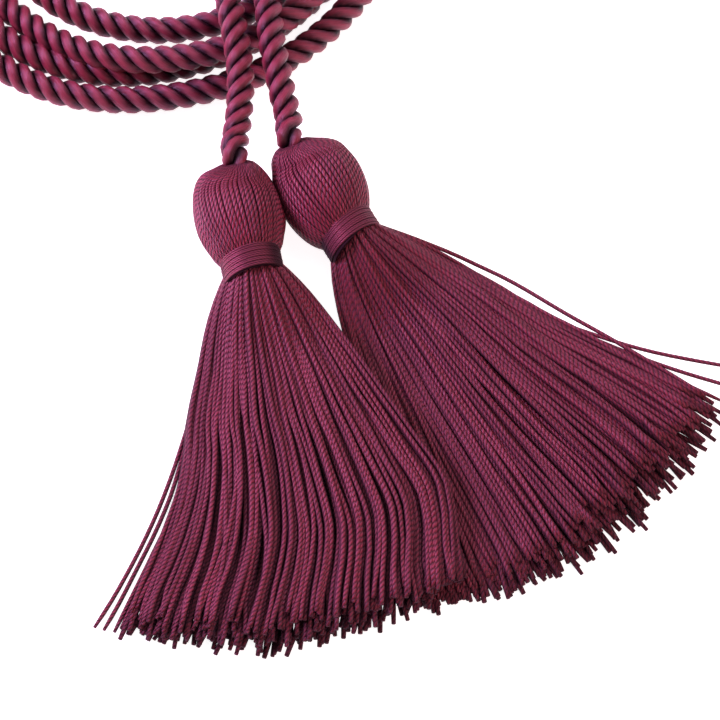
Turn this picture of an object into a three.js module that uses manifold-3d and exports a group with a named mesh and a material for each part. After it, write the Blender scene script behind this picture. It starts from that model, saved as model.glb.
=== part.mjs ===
// Honor cord: one twisted rope lying in a loose coil, with a tassel on each of its two ends.
// Millimetres, +Z up. Everything lies on a flat surface at z = 0.
import * as THREE from "three";
import { mergeVertices } from "three/addons/utils/BufferGeometryUtils.js";
import Module from "manifold-3d";

const wasm = await Module();
wasm.setup();

// Rope
const ROPE_DIAMETER = 6.6;
const ROPE_SIDES = 10;
const GAP = 0.3; // clearance between pieces that meet

// Coil: three turns lie on the surface and one lies on top of them. Radii are to the middle of a turn.
const COIL_CENTRE = { x: -50, y: 134 };
const COIL_INNER_TURN = 44.4;
const COIL_TOP_TURN = 55.4;
const COIL_OUTER_TURN = 66.7;

// Tassel head: an egg of threads, flattened a little where the two heads press together
const HEAD_RADIUS = 10.6;
const HEAD_TOP_RADIUS = 4;
const HEAD_SEGMENTS = 32;
const HEAD_TOP = 0.1; // share of the length in which the flat top takes on the slant
const HEAD_WIDEST = 0.52; // share of the length at which the head is widest

// Egg outline from the rope to the neck, as shares of the head's length and radius
const HEAD_OUTLINE = [
  { along: 0.05, out: 0.56 },
  { along: 0.12, out: 0.74 },
  { along: 0.25, out: 0.9 },
  { along: 0.4, out: 0.985 },
  { along: 0.52, out: 1 },
  { along: 0.7, out: 0.98 },
  { along: 0.84, out: 0.88 },
  { along: 0.94, out: 0.78 },
];

// Neck band: thread wound round the neck, in ridges
const BAND_WIDTH = 5.2;
const BAND_RADIUS = 7.3;
const BAND_THICKNESS = 0.9;
const BAND_WINDS = 5;
const BAND_RIDGE = 0.12; // depth of the groove between two winds

// Fringe
const FRINGE_HEIGHT = 9;
const FRINGE_EDGE = 0.42; // height of the outermost lock as a share of the middle one's
const LOCKS = 11;
const LOCK_OVERLAP = 1.45; // width of a lock over its spacing at the cut end
const LOCK_SIDES = 12;
const LOCK_STEPS = 9;
const FLARE_REACH = 0.5; // share of the length over which a lock keeps its flare
const SAG = 0.3; // share of the length after which the fringe lies on the surface
const STEM_PROUD = 1.2; // length of bare stem between the band and the locks
const STEM_REACH = 2; // length of the stem past the band, inside the locks
const NECK_SPREAD = 0.72; // how far out the outermost locks start, as a share of the stem's radius

// Length of each lock as a share of its fringe's length
const LOCK_ENDS = [0.965, 0.985, 1, 0.98, 0.995, 0.985, 1, 0.985, 0.995, 0.98, 0.97];

// Places of the two tassels. x and y are where the rope goes in, and turn is the tassel's direction,
// in degrees from -Y towards +X. The slants say how much further along the right side lies than the
// left one, at the head's top and at the neck, and bulge how far the head's middle lies to the right.
// ropeAside is how far to the right of the head's middle the rope goes in. The fan angles are those
// of the outermost locks at their cut ends, and the flare angles those at the neck, in degrees from
// the tassel's own axis.
const TASSELS = {
  left: {
    x: -30.7, y: 47.1, turn: 11.4, headLength: 23.6, topSlant: 0.14, neckSlant: -0.08,
    bulge: -0.4, ropeAside: 0.9,
    fringeLength: 93.5, fanLeft: -26.5, fanRight: 17.6, flareLeft: -28, flareRight: 45,
  },
  right: {
    x: -15.1, y: 52.5, turn: 29.2, headLength: 23.2, topSlant: 0.07, neckSlant: -0.22,
    bulge: -0.8, ropeAside: -1.1,
    fringeLength: 96.5, fanLeft: -7, fanRight: 32, flareLeft: 5, flareRight: 45.5,
  },
};

// Middle of the rope from each head to the coil, as [x, y, z]. It leaves the head straight.
const LEFT_LEAD = [
  [-29.8, 54.5, 11.2],
  [-29, 61, 12.4],
  [-28.7, 67.5, 14.4],
  [-29.1, 74, 16.4],
  [-30.1, 80.5, 17.5],
  [-31.2, 87, 17.2],
  [-32.3, 93.5, 14.8],
  [-33.4, 100, 10.8],
  [-34.9, 107, 6.8],
  [-36.8, 114.5, 5],
  [-38.9, 122, 6.2],
  [-40.9, 129.5, 9.2],
  [-42.2, 137, 11.3],
  [-42.4, 144.5, 11],
  [-40.4, 152, 7.8],
  [-35.6, 158, 4.6],
  [-28.8, 160, 3.6],
  [-22.4, 157.2, 4],
  [-18.2, 151.4, 5],
  [-15.9, 146.2, 6],
];
const RIGHT_LEAD = [
  [-17.2, 58.2, 11.6],
  [-18.5, 64.3, 13],
  [-19.7, 70.5, 15],
  [-21, 77, 16.8],
  [-21.8, 83.5, 17.5],
  [-22.4, 90, 16.9],
  [-23.2, 96.5, 14.2],
  [-23.8, 103, 10],
  [-24.6, 110, 6],
  [-25.8, 117.5, 4],
  [-28, 125, 3.4],
  [-31.6, 132, 3.4],
  [-36.8, 138, 3.4],
  [-43.5, 142.6, 3.4],
  [-51.5, 145.6, 3.4],
  [-60, 146.3, 3.4],
  [-68.3, 144.6, 3.4],
  [-75.6, 140.4, 3.4],
  [-81.2, 134.6, 3.4],
  [-84.7, 127.8, 3.4],
];
const LEAD_STRAIGHT = 2.5; // length that leaves the head straight
const LEAD_STEP = 2; // rope diameters from one section of a lead to the next

const COLOUR = 0x6b1f3a;

const rad = THREE.MathUtils.degToRad;
const mix = THREE.MathUtils.lerp;
const smooth = THREE.MathUtils.smoothstep;

const stemRadius = BAND_RADIUS - BAND_THICKNESS - GAP;

function material(roughness) {
  return new THREE.MeshStandardMaterial({ color: COLOUR, roughness, metalness: 0 });
}

function mesh(name, geometry, roughness) {
  const made = new THREE.Mesh(geometry, material(roughness));
  made.name = name;
  return made;
}

// A closed geometry as a solid, for joining and cutting
function solid(geometry) {
  const bare = geometry.clone();
  bare.deleteAttribute("normal");
  bare.deleteAttribute("uv");
  const merged = mergeVertices(bare, 1e-4);
  return new wasm.Manifold(
    new wasm.Mesh({
      numProp: 3,
      vertProperties: new Float32Array(merged.attributes.position.array),
      triVerts: new Uint32Array(merged.index.array),
    }),
  );
}

function geometryOf(body) {
  const data = body.getMesh();
  const made = new THREE.BufferGeometry();
  made.setAttribute("position", new THREE.BufferAttribute(data.vertProperties, 3));
  made.setIndex(new THREE.BufferAttribute(data.triVerts, 1));
  made.computeVertexNormals();
  return made;
}

// Points on an arc about (x, y), from one angle to another in degrees
function arc(x, y, radius, from, to, steps) {
  const points = [];
  for (let i = 0; i <= steps; i++) {
    const angle = rad(mix(from, to, i / steps));
    points.push(new THREE.Vector2(x + radius * Math.cos(angle), y + radius * Math.sin(angle)));
  }
  return points;
}

// Moves a geometry's points along the tassel, more on one side than on the other
function slanted(geometry, slantAt) {
  const at = geometry.getAttribute("position");
  for (let i = 0; i < at.count; i++) at.setY(i, at.getY(i) - slantAt(-at.getY(i)) * at.getX(i));
  geometry.computeVertexNormals();
  return geometry;
}

// Outer shape of the coil: rounded inside and outside, with the top turn standing on the rest
function coil() {
  const r = ROPE_DIAMETER / 2;
  const foot = 1.25 * r;
  const section = [
    ...arc(COIL_OUTER_TURN, r, r, -90, 90, 4),
    new THREE.Vector2(COIL_TOP_TURN + foot, 2 * r),
    ...arc(COIL_TOP_TURN, 3 * r, r, 0, 180, 4),
    new THREE.Vector2(COIL_TOP_TURN - foot, 2 * r),
    ...arc(COIL_INNER_TURN, r, r, 90, 270, 4),
  ];
  section.push(section[0].clone());
  const made = mesh("coil", new THREE.LatheGeometry(section, 48), 0.55);
  made.geometry.rotateX(Math.PI / 2);
  made.position.set(COIL_CENTRE.x, COIL_CENTRE.y, 0);
  return made;
}

// The rope between a head and the coil
function lead(name, place, route) {
  const turn = rad(place.turn);
  const out = (length) => new THREE.Vector3(
    place.x - length * Math.sin(turn) + place.ropeAside * Math.cos(turn),
    place.y + length * Math.cos(turn) + place.ropeAside * Math.sin(turn),
    HEAD_RADIUS,
  );
  const points = [out(GAP), out(LEAD_STRAIGHT), ...route.map((p) => new THREE.Vector3(...p))];
  const path = new THREE.CatmullRomCurve3(points, false, "centripetal");
  const round = new THREE.Shape();
  for (let i = 0; i < ROPE_SIDES; i++) {
    const angle = (i / ROPE_SIDES) * 2 * Math.PI;
    const at = [0.5 * ROPE_DIAMETER * Math.cos(angle), 0.5 * ROPE_DIAMETER * Math.sin(angle)];
    if (i === 0) round.moveTo(...at);
    else round.lineTo(...at);
  }
  const steps = Math.round(path.getLength() / (LEAD_STEP * ROPE_DIAMETER));
  const tube = new THREE.ExtrudeGeometry(round, { steps, extrudePath: path, bevelEnabled: false });
  return mesh(name, tube, 0.55);
}

// Threads folded down over a core. It reaches into the neck band as a stem.
function head(name, place) {
  const length = place.headLength;
  const middleOfBand = length + BAND_WIDTH / 2;
  const outline = [new THREE.Vector2(HEAD_TOP_RADIUS, 0)];
  for (const row of HEAD_OUTLINE)
    outline.push(new THREE.Vector2(row.out * HEAD_RADIUS, -row.along * length));
  outline.push(new THREE.Vector2(BAND_RADIUS, GAP - length));
  const curve = new THREE.SplineCurve(outline).getPoints(14);
  for (const point of curve) point.x = Math.min(point.x, HEAD_RADIUS);
  const profile = [
    new THREE.Vector2(0, 0),
    ...curve,
    new THREE.Vector2(stemRadius, GAP - length),
    new THREE.Vector2(stemRadius, GAP / 2 - middleOfBand),
    new THREE.Vector2(0, GAP / 2 - middleOfBand),
  ];
  const made = mesh(name, new THREE.LatheGeometry(profile.reverse(), HEAD_SEGMENTS), 0.6);
  const at = made.geometry.getAttribute("position");
  for (let i = 0; i < at.count; i++) {
    const share = Math.min(-at.getY(i) / length, 1);
    at.setX(i, at.getX(i) + place.bulge * Math.sin(Math.PI * share));
  }
  slanted(made.geometry, (along) => {
    const share = Math.min(along / length, 1);
    return mix(place.topSlant, place.neckSlant, share) * Math.min(share / HEAD_TOP, 1);
  });
  made.userData.middle = new THREE.Vector3(place.bulge, -HEAD_WIDEST * length, 0);
  return made;
}

function neckBand(name, place) {
  const inner = BAND_RADIUS - BAND_THICKNESS;
  const pitch = (BAND_WIDTH - 2 * GAP) / BAND_WINDS;
  const top = -place.headLength - GAP;
  const section = [new THREE.Vector2(inner, top)];
  for (let i = 0; i < BAND_WINDS; i++) {
    section.push(new THREE.Vector2(BAND_RADIUS - BAND_RIDGE, top - i * pitch));
    section.push(new THREE.Vector2(BAND_RADIUS, top - (i + 0.5) * pitch));
  }
  section.push(new THREE.Vector2(BAND_RADIUS - BAND_RIDGE, top - BAND_WINDS * pitch));
  section.push(new THREE.Vector2(inner, top - BAND_WINDS * pitch));
  section.push(section[0].clone());
  const ring = new THREE.LatheGeometry(section.reverse(), HEAD_SEGMENTS);
  return mesh(name, slanted(ring, () => place.neckSlant), 0.5);
}

// Middle of a lock in plan, from the neck to its cut end. share runs from -1, left, to 1, right.
function lockPath(tassel, share, length) {
  const side = (share + 1) / 2;
  const fan = rad(mix(tassel.fanLeft, tassel.fanRight, side));
  const flare = rad(mix(tassel.flareLeft, tassel.flareRight, side));
  const reach = FLARE_REACH * length;
  const neckEnd = tassel.headLength + BAND_WIDTH;
  const aside = NECK_SPREAD * stemRadius * share;
  const from = new THREE.Vector2(aside, -neckEnd - STEM_PROUD - tassel.neckSlant * aside);
  return new THREE.QuadraticBezierCurve(
    from,
    new THREE.Vector2(from.x + reach * Math.sin(flare), from.y - reach * Math.cos(flare)),
    new THREE.Vector2(length * Math.sin(fan), -neckEnd - length * Math.cos(fan)),
  );
}

// A closed round bar, bent along the lock's path and flattened where it lies on the surface
function lock(tassel, share, length) {
  const path = lockPath(tassel, share, length);
  const spread = rad(tassel.fanRight - tassel.fanLeft) / (LOCKS - 1);
  const dome = Math.sqrt(1 - share * share);
  const neckHalf = stemRadius * Math.sqrt(1 - (NECK_SPREAD * share) ** 2);
  const bar = new THREE.CylinderGeometry(1, 1, 1, LOCK_SIDES, LOCK_STEPS);
  bar.deleteAttribute("normal");
  bar.deleteAttribute("uv");
  const at = bar.getAttribute("position");
  for (let i = 0; i < at.count; i++) {
    const t = 0.5 - at.getY(i);
    const middle = path.getPoint(t);
    const along = path.getTangent(t);
    const blunt = t > 0.999 ? 0.8 : 1;
    const half = blunt * mix(0.3 * stemRadius, 0.5 * LOCK_OVERLAP * spread * length, t ** 0.9);
    const fall = smooth(t, 0, SAG);
    const top = mix(
      mix(HEAD_RADIUS + neckHalf, FRINGE_HEIGHT * mix(FRINGE_EDGE, 1, dome) * 1.25, fall),
      FRINGE_HEIGHT * mix(FRINGE_EDGE, 1, dome),
      smooth(t, SAG, 1),
    );
    const bottom = mix(HEAD_RADIUS - neckHalf, 0, fall);
    const level = mix(bottom, top, 0.42);
    const z = level + blunt * (top - level) * at.getZ(i);
    const aside = half * at.getX(i);
    at.setXYZ(
      i,
      middle.x - along.y * aside,
      middle.y + along.x * aside,
      Math.max(bottom, z) - HEAD_RADIUS,
    );
  }
  return solid(bar);
}

// A low fan under the locks, which fills the spaces between them
function backing(tassel) {
  const from = SAG + 0.02;
  const to = 0.92;
  const left = lockPath(tassel, -0.96, tassel.fringeLength);
  const right = lockPath(tassel, 0.96, tassel.fringeLength);
  const outline = [];
  for (let i = 0; i <= 4; i++) outline.push(left.getPoint(mix(from, to, i / 4)));
  for (let i = 1; i < 4; i++)
    outline.push(lockPath(tassel, -1 + i / 2, tassel.fringeLength).getPoint(to));
  for (let i = 4; i >= 0; i--) outline.push(right.getPoint(mix(from, to, i / 4)));
  const slab = new THREE.ExtrudeGeometry(new THREE.Shape(outline), {
    depth: 0.3 * FRINGE_HEIGHT,
    bevelEnabled: false,
  });
  slab.translate(0, 0, -HEAD_RADIUS);
  return solid(slab);
}

// Loose threads hanging from the neck, as locks fused to a stem and a backing
function fringe(name, tassel) {
  const length = BAND_WIDTH / 2 + STEM_REACH - GAP / 2;
  const stem = new THREE.CylinderGeometry(stemRadius, stemRadius, length, 24);
  stem.translate(0, -tassel.headLength - BAND_WIDTH / 2 - GAP / 2 - length / 2, 0);
  slanted(stem, () => tassel.neckSlant);
  let body = solid(stem).add(backing(tassel));
  LOCK_ENDS.forEach((end, i) => {
    const share = mix(-1, 1, i / (LOCKS - 1));
    body = body.add(lock(tassel, share, end * tassel.fringeLength));
  });
  return mesh(name, geometryOf(body), 0.65);
}

function tassel(side) {
  const made = new THREE.Group();
  const place = TASSELS[side];
  made.add(
    head(side + "_head", place),
    neckBand(side + "_neck_band", place),
    fringe(side + "_fringe", place),
  );
  made.position.set(place.x, place.y, HEAD_RADIUS);
  made.rotation.z = rad(place.turn);
  return made;
}

// Flattens two heads against the plane halfway between their middles
function pressTogether(a, b) {
  const middle = (piece) => {
    piece.updateWorldMatrix(true, false);
    return piece.userData.middle.clone().applyMatrix4(piece.matrixWorld);
  };
  const halfway = middle(a).add(middle(b)).multiplyScalar(0.5);
  for (const [piece, other] of [[a, b], [b, a]]) {
    const towards = middle(other).sub(middle(piece)).setZ(0).normalize();
    const limit = halfway.dot(towards) - GAP / 2;
    const at = piece.geometry.getAttribute("position");
    const back = piece.matrixWorld.clone().invert();
    for (let i = 0; i < at.count; i++) {
      const point = new THREE.Vector3().fromBufferAttribute(at, i).applyMatrix4(piece.matrixWorld);
      const over = point.dot(towards) - limit;
      if (over > 0) point.addScaledVector(towards, -over).applyMatrix4(back);
      else point.applyMatrix4(back);
      at.setXYZ(i, point.x, point.y, point.z);
    }
  }
}

const tassels = new THREE.Group();
tassels.add(tassel("left"), tassel("right"));
pressTogether(tassels.getObjectByName("left_head"), tassels.getObjectByName("right_head"));

const layout = new THREE.Group();
layout.add(tassels, coil());
layout.add(lead("left_lead", TASSELS.left, LEFT_LEAD), lead("right_lead", TASSELS.right, RIGHT_LEAD));

// The part's origin is under the middle of the two tassels
const box = new THREE.Box3().setFromObject(tassels, true);
layout.position.set(-(box.min.x + box.max.x) / 2, -(box.min.y + box.max.y) / 2, -box.min.z);

const group = new THREE.Group();
group.add(layout);

export default group;
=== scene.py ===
import math
from collections import namedtuple

import bmesh
import bpy
import numpy as np
from bpy.props import FloatProperty, FloatVectorProperty, IntProperty, PointerProperty
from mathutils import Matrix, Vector


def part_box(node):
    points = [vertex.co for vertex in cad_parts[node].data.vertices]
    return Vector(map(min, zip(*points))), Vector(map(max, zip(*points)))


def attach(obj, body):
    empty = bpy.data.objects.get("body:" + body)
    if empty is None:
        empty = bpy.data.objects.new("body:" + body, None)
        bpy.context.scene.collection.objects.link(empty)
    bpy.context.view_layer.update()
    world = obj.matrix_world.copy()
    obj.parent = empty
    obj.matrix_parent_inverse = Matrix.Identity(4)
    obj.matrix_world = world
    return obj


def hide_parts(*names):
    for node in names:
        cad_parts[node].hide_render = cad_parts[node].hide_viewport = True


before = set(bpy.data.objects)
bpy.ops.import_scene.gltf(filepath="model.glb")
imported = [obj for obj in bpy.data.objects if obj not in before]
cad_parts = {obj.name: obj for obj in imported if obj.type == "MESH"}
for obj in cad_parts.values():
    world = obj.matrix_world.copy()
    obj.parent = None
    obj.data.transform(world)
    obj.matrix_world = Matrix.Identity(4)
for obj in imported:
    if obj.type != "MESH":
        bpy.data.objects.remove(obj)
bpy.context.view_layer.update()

bl_info = {
    "name": "Honor Cord",
    "version": (1, 0, 0),
    "blender": (4, 5, 0),
    "location": "3D View > Sidebar > Honor Cord",
    "description": "Builds a twisted rope cord with a thread tassel on each end",
    "category": "Add Mesh",
}

# Layout of the cord, in metres, before it is shifted to the frame's origin
COIL_CENTRE = (-0.050, 0.134)
HEAD_HEIGHT = 0.0106  # of a tassel's axis above the surface

# A tassel's direction is in degrees from -Y towards +X. The slants say how much further along the
# right side lies than the left one, at the head's top and at both edges of the neck band. Bulge is how
# far the head's middle lies to the right, rope_aside how far to the right of it the rope goes in, and
# lead_aside how far to the right the lead's points end. The cuts are the distances from the fan's apex
# to the lowest cut ends on the left, in the middle and on the right, and top_cut that to the topmost.
Tassel = namedtuple(
    "Tassel",
    "turn head_length top_slant neck_slant band_slant bulge rope_aside lead_aside cuts top_cut")
TASSELS = {
    "left": Tassel(
        11.4, 0.0237, 0.20, -0.08, -0.075, -0.0005, 0.0008, 0.0009,
        (0.1000, 0.1005, 0.0978), 0.0965),
    "right": Tassel(
        29.2, 0.0240, -0.02, -0.22, -0.11, -0.0001, -0.0018, -0.0011,
        (0.1000, 0.1032, 0.1028), 0.0968),
}
APEX = 0.0097  # from the fan's apex to the neck band's lower edge

# Sides of a fringe, as angles from the tassel's axis at distances from the apex
Edge = namedtuple("Edge", "reach left right")
EDGES = {
    "left": [
        Edge(0.006, -39, 41),
        Edge(0.017, -37, 38.2),
        Edge(0.024, -34.5, 35.8),
        Edge(0.034, -30.8, 32.6),
        Edge(0.046, -28.4, 29.9),
        Edge(0.055, -26.2, 28.8),
        Edge(0.064, -25.5, 28.0),
        Edge(0.072, -25.7, 27.6),
        Edge(0.081, -26.2, 25.3),
        Edge(0.090, -26.9, 21.8),
        Edge(0.104, -27.0, 17.5),
    ],
    "right": [
        Edge(0.006, -33, 40),
        Edge(0.011, -32.2, 40.2),
        Edge(0.016, -30.6, 42.0),
        Edge(0.021, -28.0, 42.4),
        Edge(0.027, -24.9, 42.0),
        Edge(0.032, -23.2, 41.1),
        Edge(0.0376, -21.9, 39.5),
        Edge(0.043, -20.9, 38.0),
        Edge(0.047, -20.4, 36.8),
        Edge(0.0515, -19.8, 36.1),
        Edge(0.056, -19.4, 35.3),
        Edge(0.066, -18.8, 34.8),
        Edge(0.086, -18, 34.1),
        Edge(0.106, -17.2, 32.5),
    ],
}

# Heights of a fringe's lowest and topmost threads, share running from -1, left, to 1, right
Level = namedtuple("Level", "share bottom top")
LEVELS = {
    "left": [
        Level(-1, 0, 0.0034),
        Level(-0.5, 0, 0.0074),
        Level(0, 0, 0.0088),
        Level(0.5, 0.0008, 0.0084),
        Level(1, 0.0032, 0.0066),
    ],
    "right": [
        Level(-1, 0, 0.0018),
        Level(-0.5, 0, 0.0034),
        Level(0, 0, 0.0070),
        Level(0.5, 0, 0.0082),
        Level(1, 0, 0.0034),
    ],
}

# Threads that lie apart from a fringe's side, as angles from the tassel's axis at distances from the
# apex. Before the first one the thread follows the side.
Stray = namedtuple("Stray", "height bends")
STRAYS = {
    "left": [
        Stray(0.0007, (
            (0.046, -28.4), (0.058, -28.1), (0.069, -28.4), (0.079, -29.1), (0.0925, -30.3),
            (0.1006, -31.2))),
        Stray(0.0007, (
            (0.052, -27.2), (0.063, -26.8), (0.0736, -27.5), (0.0848, -28.6), (0.0918, -29.1),
            (0.1005, -29.9))),
        Stray(0.0007, ((0.078, -26.7), (0.0915, -27.9), (0.1002, -28.5))),
        Stray(0.0008, ((0.082, -26.6), (0.0990, -27.8))),
    ],
    "right": [
        Stray(0.0025, (
            (0.020, 43.6), (0.0277, 44.7), (0.0322, 44.2), (0.0376, 43.0), (0.0421, 41.9), (0.0468, 40.7),
            (0.0515, 39.4), (0.0563, 38.3), (0.061, 37.4), (0.0656, 36.9), (0.080, 35.2), (0.098, 33.6))),
        Stray(0.0022, ((0.066, 35.6), (0.075, 36.2), (0.083, 37.0), (0.090, 37.9), (0.1010, 39.2))),
        Stray(0.0018, ((0.068, 35.0), (0.080, 35.2), (0.090, 35.7), (0.1030, 36.6))),
        Stray(0.0014, ((0.072, 34.6), (0.088, 34.3), (0.1015, 34.2))),
        Stray(0.0012, ((0.080, 34.0), (0.1020, 32.6))),
    ],
}
STRAY_LEAVE = 0.008  # length over which a thread turns away from the side

# Middle of the rope from each head to the coil
LEFT_LEAD = [
    (-0.0298, 0.0545, 0.0112),
    (-0.0290, 0.0610, 0.0124),
    (-0.0287, 0.0675, 0.0144),
    (-0.0291, 0.0740, 0.0164),
    (-0.0301, 0.0805, 0.0175),
    (-0.0312, 0.0870, 0.0172),
    (-0.0323, 0.0935, 0.0148),
    (-0.0334, 0.1000, 0.0108),
    (-0.0349, 0.1070, 0.0068),
    (-0.0368, 0.1145, 0.0050),
    (-0.0389, 0.1220, 0.0062),
    (-0.0409, 0.1295, 0.0092),
    (-0.0422, 0.1370, 0.0113),
    (-0.0424, 0.1445, 0.0110),
    (-0.0404, 0.1520, 0.0078),
    (-0.0356, 0.1580, 0.0046),
    (-0.0288, 0.1600, 0.0036),
    (-0.0224, 0.1572, 0.0040),
    (-0.0182, 0.1514, 0.0050),
    (-0.0159, 0.1462, 0.0060),
]
RIGHT_LEAD = [
    (-0.0172, 0.0582, 0.0116),
    (-0.0185, 0.0643, 0.0130),
    (-0.0197, 0.0705, 0.0150),
    (-0.0210, 0.0770, 0.0168),
    (-0.0218, 0.0835, 0.0175),
    (-0.0224, 0.0900, 0.0169),
    (-0.0232, 0.0965, 0.0142),
    (-0.0238, 0.1030, 0.0100),
    (-0.0246, 0.1100, 0.0060),
    (-0.0258, 0.1175, 0.0040),
    (-0.0280, 0.1250, 0.0034),
    (-0.0316, 0.1320, 0.0034),
    (-0.0368, 0.1380, 0.0034),
    (-0.0435, 0.1426, 0.0034),
    (-0.0515, 0.1456, 0.0034),
    (-0.0600, 0.1463, 0.0034),
    (-0.0683, 0.1446, 0.0034),
    (-0.0756, 0.1404, 0.0034),
    (-0.0812, 0.1346, 0.0034),
    (-0.0847, 0.1278, 0.0034),
]
LEAD_INSIDE = 0.004  # length of rope that is hidden in a head
LEAD_STRAIGHT = 0.0025  # length that leaves a head straight

# The coil, from the right lead round to the left one. Angles in degrees about the coil's centre, and
# the height is that of a turn that lies on the surface, unless another one is given.
Station = namedtuple("Station", "angle radius height", defaults=(0.0033,))
COIL = [
    Station(203, 0.0396, 0.0034),
    Station(215, 0.0427),
    Station(226, 0.0441),
    Station(240, 0.0443),
    Station(289, 0.0450),
    Station(360, 0.0465),
    Station(405, 0.0480),
    Station(450, 0.0500),
    Station(510, 0.0540),
    Station(540, 0.0565),
    Station(560, 0.0586),
    Station(591, 0.0599),
    Station(607, 0.0593),
    Station(622, 0.0575),
    Station(637, 0.0548),
    Station(665, 0.0522),
    Station(720, 0.0526),
    Station(765, 0.0552),
    Station(810, 0.0580),
    Station(855, 0.0610),
    Station(900, 0.0640),
    Station(930, 0.0658),
    Station(960, 0.0666),
    Station(971, 0.0661),
    Station(982, 0.0646),
    Station(990, 0.0635),
    Station(1000, 0.0625),
    Station(1022, 0.0617),
    Station(1043, 0.0607),
    Station(1080, 0.0612),
    Station(1105, 0.0612, 0.0036),
    Station(1130, 0.0598, 0.0072),
    Station(1150, 0.0570, 0.0099),
    Station(1190, 0.0520, 0.0099),
    Station(1215, 0.0505, 0.0085),
    Station(1240, 0.0500, 0.0060),
    Station(1265, 0.0510, 0.0038),
    Station(1290, 0.0526),
    Station(1312, 0.0530, 0.0036),
    Station(1325, 0.0543, 0.0052),
    Station(1338, 0.0561, 0.0080),
    Station(1350, 0.0562, 0.0095),
    Station(1366, 0.0562, 0.0099),
    Station(1388, 0.0555, 0.0099),
    Station(1396, 0.0542, 0.0099),
    Station(1418, 0.0505, 0.0099),
    Station(1438, 0.0462, 0.0099),
    Station(1450, 0.0415, 0.0086),
]
COIL_STEP = 10  # degrees from one point of the coil to the next

# Egg outline of each head from the rope to the neck, as shares of its length and its height's half
Ring = namedtuple("Ring", "along left right")
HEAD_OUTLINE = [
    Ring(0.0, 0.38, 0.38),
    Ring(0.05, 0.57, 0.56),
    Ring(0.12, 0.75, 0.73),
    Ring(0.25, 0.91, 0.92),
    Ring(0.4, 0.985, 1.0),
    Ring(0.55, 1.005, 1.035),
    Ring(0.7, 0.98, 1.005),
    Ring(0.84, 0.87, 0.925),
    Ring(0.94, 0.785, 0.82),
    Ring(1.0, 0.69, 0.73),
]
HEAD_TOP = 0.1  # share of the length in which the flat top takes on the slant

# Where a head's threads come from the rope's hole, and where they go under the band, as a length
# along the axis and a distance out from it
Turn = namedtuple("Turn", "along out")
ROPE_HOLE = Turn(0.0002, 0.0015)
HEAD_FOLD = Turn(0.0016, 0.0009)
HEAD_TAIL = Turn(0.0015, 0.0066)
HEAD_STEPS = 30  # points of a head's thread
HEAD_RADII = (0.00030, 0.00060)  # least and most of a head's thread
HEAD_TWIST = 0.10  # turn of a head's threads about its axis, in radians
HEAD_SWAY = 0.009  # spread of their bends, in radians
HEAD_UNEVEN = 0.05  # share of its own width by which a thread may lie beside its place
CORE_RINGS = 18  # of the bulb under a head's threads
CORE_SHARE = 0.93  # of the threads' distance from the axis
CORE_PRESS = 0.0008  # how much further a core keeps from the other head

# The end that the rope goes into is tipped up about a point of the head's axis. The tip fades over a
# share of the head and a reach of rope.
Tip = namedtuple("Tip", "angle pivot share reach")
TIP = Tip(math.radians(37), 0.0095, 0.5, 0.034)

# Each end of the rope is thinner up to a length, as a share of its thickness
Taper = namedtuple("Taper", "share start full")
ROPE_TAPER = Taper(0.6, 0.001, 0.0068)
ROPE_CORE = 0.0008  # radius of the thread in the rope's middle, painted black as the shade between the strands

FRINGE_STEPS = 26  # points of a fringe's thread
FRINGE_SWELL = 0.12  # share by which a thread is thicker at its cut end
FRINGE_DIM = 0.86  # painted light: brightness of the outer fringe as a share of that at the neck, which is painted lighter
# Small bends of a fringe's thread: how many on its length, and how large
BENDS = ((1.3, 0.00035), (2.7, 0.00022), (5.1, 0.00010))
LIFT = 0.00028  # of a bend upwards
CURL = 0.0010  # of a cut end to the side
SUNK = (0.0014, 0.0004)  # how deep a thread lies between others at the neck and at its end

# How a fringe's threads gather in locks, as shares of half its width, and how unevenly they are cut
LOCK_WIDTHS = (0.05, 0.15)
GATHERED = (0.1, 0.6)  # share of the way to the lock's middle
CROSSING = 0.12  # share of the threads that lie across others
CROSSED = 0.07  # how far aside those lie
ASIDE = 0.012  # and the others
LOCK_CUT = 0.0016
THREAD_CUT = 0.0009
POKING = 0.10  # share of the threads that stick out
POKES = (0.0008, 0.0022)  # how far

# Painted shade in the crevices between threads and strands: how far a side faces outwards where it is
# painted quite dark and where it is left quite bright
CREVICE = (-0.25, 0.7)
ROPE_CREVICE = (0.35, 1.05)
BAND_CREVICE = (0.4, 1.0)
FRINGE_CREVICE = (0.0, 0.85)
BAND_SHADE = (0.4, 0.8)  # how far a band's end faces the other tassel from where its painted shade darkens it
BAND_LIT = (0.85, 0.98)  # how far it faces up and to the left from where its painted highlight brightens it

BAND_STEPS = 44  # points of one winding
BAND_RADIUS = 0.56  # a winding's radius as a share of its pitch
BAND_WANDER = 0.00005  # how far a winding strays from its place
BAND_LAY = 0.7  # its plies' lay as a share of that of the other threads
Bright = namedtuple("Bright", "plain shaded lit")
BAND_BRIGHT = Bright(0.54, -0.50, 0.44)  # brightness of a band, and what the painted shade and the painted highlight add

UP = np.array((0.0, 0.0, 1.0))


def centre(node):
    low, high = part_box(node)
    return (np.array(low) + np.array(high)) / 2


SHIFT = centre("coil") * (1, 1, 0) - (*COIL_CENTRE, 0)


class RopeSettings(bpy.types.PropertyGroup):
    diameter: FloatProperty(
        name="Diameter", description="Thickness of the whole rope", default=0.0069, unit="LENGTH")
    strands: IntProperty(name="Strands", description="Strands laid round each other", default=3)
    lay: FloatProperty(
        name="Lay", description="Length in which a strand goes once round", default=0.0132, unit="LENGTH")
    strand: FloatProperty(
        name="Strand", description="Thickness of one strand", default=0.00285, unit="LENGTH")
    step: FloatProperty(
        name="Step", description="Length of one facet along the rope", default=0.0011, unit="LENGTH")


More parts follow.
